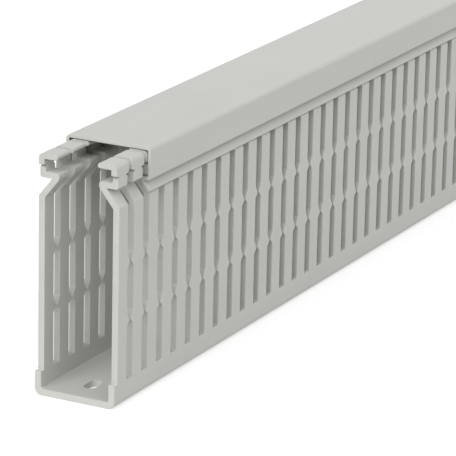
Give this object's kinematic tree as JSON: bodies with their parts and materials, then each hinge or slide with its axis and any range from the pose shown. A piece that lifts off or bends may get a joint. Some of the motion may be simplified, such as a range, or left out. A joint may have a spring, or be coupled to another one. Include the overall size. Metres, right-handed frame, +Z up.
{
  "type": "slotted wire duct",
  "caption": "U-shaped plastic wire duct with slotted side walls, pinched finger slots, hooked finger heads and a push-on cover.",
  "frame": {"origin": "middle of the underside of the base, half way along its length", "axes": "+X across the duct, +Y along it away from the near end, +Z up from the underside towards the cover"},
  "size_m": [0.0318, 1.0207, 0.084],
  "materials": {
    "base_plastic": "satin light grey rigid PVC",
    "cover_plastic": "satin light grey rigid PVC"
  },
  "bodies": {
    "base": {"base_channel": "base_plastic"},
    "cover": {"cover": "cover_plastic"}
  },
  "joints": [
    {"name": "cover_slide", "type": "slide", "parent": "base", "child": "cover", "axis": [0, 1, 0], "range_m": [-0.0207, 0.4]}
  ]
}
